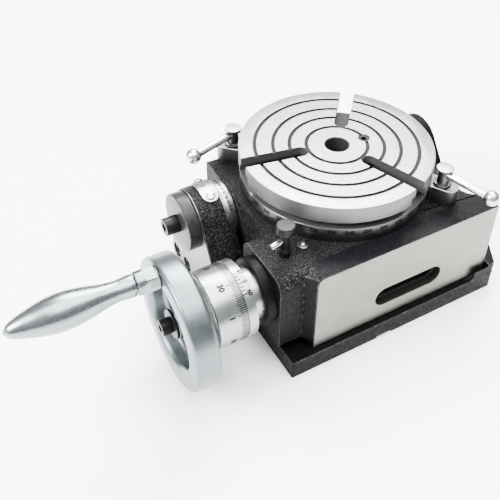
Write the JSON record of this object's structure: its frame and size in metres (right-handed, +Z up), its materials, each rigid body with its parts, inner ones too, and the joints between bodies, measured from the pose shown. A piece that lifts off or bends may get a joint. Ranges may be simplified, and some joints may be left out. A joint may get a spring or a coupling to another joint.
{
  "type": "tilting rotary table",
  "caption": "Small worm-driven rotary table on a tilting cradle, with a graduated handwheel, T-slotted round top, table clamps and a tilt scale.",
  "frame": {"origin": "where the table's turning axis meets the underside of the base", "axes": "+X along the worm and tilt axes, away from the handwheel; +Y towards the back; +Z up along the table's turning axis"},
  "size_m": [0.2764, 0.1392, 0.0875],
  "materials": {
    "cast_black": "textured black paint over a casting",
    "black_oxide": "black oxide on machined steel",
    "ground_steel": "fine ground steel",
    "satin_chrome": "satin chrome",
    "cast_aluminium": "polished aluminium",
    "bronze": "machined bronze"
  },
  "bodies": {
    "base": {"base_casting": "cast_black", "left_bracket": "cast_black", "bracket_bolt_1": "black_oxide", "bracket_bolt_2": "black_oxide", "bracket_bolt_3": "black_oxide", "bracket_bolt_4": "black_oxide", "tilt_vernier_plate": "cast_aluminium", "vernier_screw_rear": "satin_chrome", "vernier_screw_front": "satin_chrome"},
    "cradle": {"cradle_housing": "cast_black", "bottom_cover": "black_oxide", "table_bush": "bronze", "tilt_scale_band": "cast_aluminium", "tilt_washer": "black_oxide", "tilt_clamp_screw": "black_oxide", "clamp_block_left": "black_oxide", "clamp_block_right": "black_oxide", "ball_oiler": "satin_chrome"},
    "table": {"rotary_table": "ground_steel", "table_plug": "black_oxide", "wheel_key": "ground_steel", "worm_wheel": "bronze", "wheel_lock_nut": "black_oxide"},
    "sleeve": {"eccentric_sleeve": "ground_steel", "worm_bush": "bronze", "vernier_ring": "satin_chrome"},
    "worm": {"worm_shaft": "ground_steel", "handwheel": "cast_aluminium", "handwheel_key": "ground_steel", "hub_washer": "black_oxide", "hub_screw": "black_oxide", "handle_pin": "satin_chrome"},
    "dial": {"dial_drum": "satin_chrome"},
    "grip": {"handle_grip": "cast_aluminium"},
    "clamp_left": {"clamp_stud_left": "satin_chrome", "clamp_lever_left": "satin_chrome", "clamp_ball_left": "satin_chrome"},
    "clamp_right": {"clamp_stud_right": "satin_chrome", "clamp_lever_right": "satin_chrome", "clamp_ball_right": "satin_chrome"},
    "sleeve_lock": {"sleeve_lock_screw": "black_oxide", "lock_screw_pin": "satin_chrome"}
  },
  "joints": [
    {"name": "tilt", "type": "hinge", "parent": "base", "child": "cradle", "pos_m": [0, 0.022, 0.0495], "axis": [-1, 0, 0], "range_deg": [0, 90]},
    {"name": "table_spin", "type": "hinge", "parent": "cradle", "child": "table", "pos_m": [0, 0, 0.0875], "axis": [0, 0, 1], "continuous": true},
    {"name": "sleeve_turn", "type": "hinge", "parent": "cradle", "child": "sleeve", "pos_m": [0, -0.04006, 0.04294], "axis": [1, 0, 0], "range_deg": [0, 90]},
    {"name": "worm_spin", "type": "hinge", "parent": "sleeve", "child": "worm", "pos_m": [0, -0.039, 0.044], "axis": [-1, 0, 0], "continuous": true},
    {"name": "dial_slip", "type": "hinge", "parent": "worm", "child": "dial", "pos_m": [-0.098, -0.039, 0.044], "axis": [-1, 0, 0], "continuous": true},
    {"name": "grip_spin", "type": "hinge", "parent": "worm", "child": "grip", "pos_m": [-0.15, -0.03272, 0.07354], "axis": [-1, 0, 0], "continuous": true},
    {"name": "clamp_left_turn", "type": "hinge", "parent": "cradle", "child": "clamp_left", "pos_m": [-0.04237, 0.04388, 0.0817], "axis": [0, 0, 1], "range_deg": [0, 40]},
    {"name": "clamp_right_turn", "type": "hinge", "parent": "cradle", "child": "clamp_right", "pos_m": [0.04237, -0.04388, 0.0817], "axis": [0, 0, 1], "range_deg": [0, 40]},
    {"name": "sleeve_lock_turn", "type": "hinge", "parent": "cradle", "child": "sleeve_lock", "pos_m": [-0.057, -0.041, 0.07], "axis": [0, 0, 1], "range_deg": [0, 90]}
  ],
  "couplings": [
    {"joint": "worm_spin", "follows": "table_spin", "ratio": 90}
  ]
}
